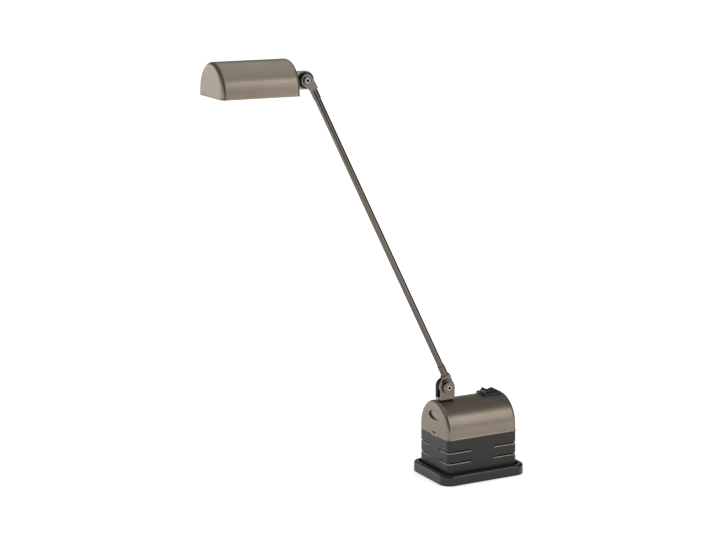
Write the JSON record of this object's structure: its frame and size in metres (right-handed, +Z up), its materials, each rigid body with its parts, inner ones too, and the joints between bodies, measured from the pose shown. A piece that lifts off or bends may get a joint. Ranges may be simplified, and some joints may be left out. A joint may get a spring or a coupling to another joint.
{
  "type": "piano lamp",
  "caption": "Low-voltage piano lamp: weighted base with rocker switch, swivelling fork, tilting round arm and tilting half-barrel shade that is open underneath.",
  "frame": {"origin": "centre of the pad's underside, on the table", "axes": "+Z up; X along the base, arm and shade lean towards -X and the switch is on the +X half; joint screws face -Y"},
  "size_m": [0.4037, 0.092, 0.5446],
  "materials": {
    "pad_rubber": "matte",
    "tray_black": "satin black, moulded",
    "case_charcoal": "fine moulded texture",
    "satin_bronze": "satin bronze-grey metallic",
    "bronze_steel": "satin bronze-grey plating",
    "badge_metal": "satin, blank",
    "black_insulator": "black nylon",
    "switch_black": "black, slightly glossy",
    "screw_steel": "zinc plated",
    "core_steel": "varnished laminations",
    "strap_steel": "zinc plated",
    "copper": "enamelled copper",
    "bobbin_nylon": "natural nylon",
    "ceramic": "unglazed ceramic",
    "block_plastic": "natural plastic",
    "fuse_metal": "nickel-plated caps",
    "gland_rubber": "black",
    "lead_pvc": "coloured wire insulation",
    "bulb_glass": "clear quartz",
    "tungsten": "drawn wire",
    "reflector_bright": "bright, softly stippled"
  },
  "bodies": {
    "base": {"base_pad": "pad_rubber", "base_tray": "tray_black", "tray_screws": "screw_steel", "lower_case": "case_charcoal", "upper_cover": "satin_bronze", "badge_plate": "badge_metal", "ballast_plate": "core_steel", "transformer_e_stack": "core_steel", "transformer_i_stack": "core_steel", "bobbin": "bobbin_nylon", "primary_winding": "copper", "secondary_winding": "copper", "transformer_strap": "strap_steel", "strap_screws": "screw_steel", "terminal_block": "block_plastic", "terminal_screws": "screw_steel", "fuse_holder": "block_plastic", "fuse": "fuse_metal", "cord_gland": "gland_rubber", "switch_body": "switch_black", "switch_terminals": "fuse_metal", "mains_leads": "lead_pvc", "secondary_leads": "lead_pvc", "swivel_bush": "black_insulator", "swivel_collar": "black_insulator", "stop_pin": "screw_steel"},
    "rocker": {"switch_rocker": "switch_black"},
    "swivel": {"swivel_stem": "screw_steel", "stop_washer": "screw_steel", "swivel_nut": "screw_steel", "fork_bracket": "bronze_steel", "fork_cheek": "black_insulator", "lower_cap_disc": "bronze_steel", "lower_pivot_screw": "screw_steel", "lower_rear_washer": "screw_steel", "lower_pivot_nut": "screw_steel"},
    "arm": {"lower_knuckle": "bronze_steel", "lower_insulator": "black_insulator", "lower_ferrule": "bronze_steel", "arm_tube": "bronze_steel", "conductor_sleeve": "bobbin_nylon", "conductor_rod": "copper", "upper_ferrule": "bronze_steel", "upper_knuckle": "bronze_steel", "upper_insulator": "black_insulator", "upper_cap_disc": "bronze_steel", "upper_pivot_screw": "screw_steel", "upper_rear_washer": "screw_steel", "upper_pivot_nut": "screw_steel"},
    "head": {"head_lug": "bronze_steel", "lug_screws": "screw_steel", "head_shell": "satin_bronze", "holder_bracket": "strap_steel", "lamp_holder": "ceramic", "bulb_pins": "tungsten", "bulb_capsule": "bulb_glass", "bulb_filament": "tungsten", "reflector": "reflector_bright"}
  },
  "joints": [
    {"name": "arm_swivel", "type": "hinge", "parent": "base", "child": "swivel", "pos_m": [-0.0337, 0, 0.1004], "axis": [0, 0, 1], "range_deg": [-160, 160]},
    {"name": "arm_tilt", "type": "hinge", "parent": "swivel", "child": "arm", "pos_m": [-0.0337, 0, 0.1175], "axis": [0, -1, 0], "range_deg": [-70, 40]},
    {"name": "head_tilt", "type": "hinge", "parent": "arm", "child": "head", "pos_m": [-0.22104, 0, 0.51585], "axis": [0, -1, 0], "range_deg": [-90, 60]},
    {"name": "switch_tip", "type": "hinge", "parent": "base", "child": "rocker", "pos_m": [0.0302, 0, 0.0989], "axis": [0, -1, 0], "range_deg": [0, 14]}
  ]
}
